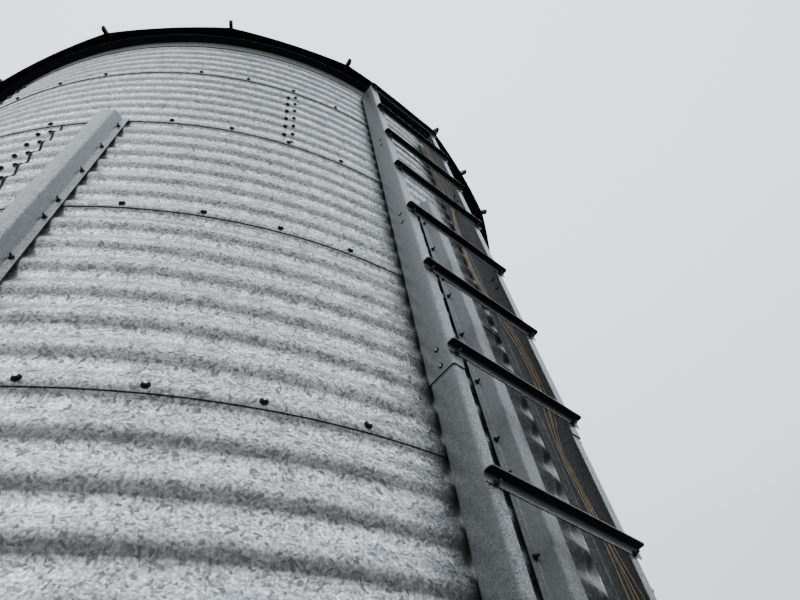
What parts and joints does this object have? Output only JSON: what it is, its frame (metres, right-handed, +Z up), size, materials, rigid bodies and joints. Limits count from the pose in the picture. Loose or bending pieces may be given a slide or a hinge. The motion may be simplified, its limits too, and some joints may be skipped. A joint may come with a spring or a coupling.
{
  "type": "grain silo",
  "caption": "Corrugated galvanised steel grain silo: bolted wall rings, upright hat stiffeners, a fixed ladder up the side, a ribbed conical roof and a capped filling hole.",
  "frame": {"origin": "centre of the silo's round foot, on the ground under the base ring", "axes": "+Z up along the silo's axis; -Y the side that the picture shows; the ladder is 19.3 degrees from -Y towards +X"},
  "size_m": [4.3786, 4.3326, 6.8747],
  "materials": {
    "wall_sheet": "galvanised, large feathery spangle, satin",
    "rail_sheet": "galvanised, fine spangle, dull",
    "rung_sheet": "galvanised, dull",
    "roof_sheet": "galvanised, satin",
    "lead_sheath": "matte, weathered"
  },
  "bodies": {
    "root": {"base_ring": "rail_sheet", "wall_ring_1": "wall_sheet", "wall_ring_2": "wall_sheet", "wall_ring_3": "wall_sheet", "wall_ring_4": "wall_sheet", "wall_ring_5": "wall_sheet", "wall_ring_6": "wall_sheet", "wall_ring_7": "wall_sheet", "stiffener_1": "rail_sheet", "stiffener_2": "rail_sheet", "stiffener_3": "rail_sheet", "stiffener_4": "rail_sheet", "stiffener_5": "rail_sheet", "stiffener_6": "rail_sheet", "stiffener_7": "rail_sheet", "stiffener_8": "rail_sheet", "stiffener_9": "rail_sheet", "eave_ring": "rail_sheet", "ladder_rail_left_upper": "rail_sheet", "ladder_rail_left_lower": "rail_sheet", "ladder_rail_right_upper": "rail_sheet", "ladder_rail_right_lower": "rail_sheet", "rung_01": "rung_sheet", "rung_02": "rung_sheet", "rung_03": "rung_sheet", "rung_04": "rung_sheet", "rung_05": "rung_sheet", "rung_06": "rung_sheet", "rung_07": "rung_sheet", "rung_08": "rung_sheet", "rung_09": "rung_sheet", "rung_10": "rung_sheet", "rung_11": "rung_sheet", "rung_12": "rung_sheet", "sensor_leads": "lead_sheath", "roof_panels_1": "roof_sheet", "roof_panels_2": "roof_sheet", "roof_panels_3": "roof_sheet", "roof_panels_4": "roof_sheet", "roof_panels_5": "roof_sheet", "roof_panels_6": "roof_sheet", "roof_panels_7": "roof_sheet", "roof_panels_8": "roof_sheet", "roof_panels_9": "roof_sheet", "peak_collar": "roof_sheet", "peak_lid": "roof_sheet"}
  },
  "joints": []
}
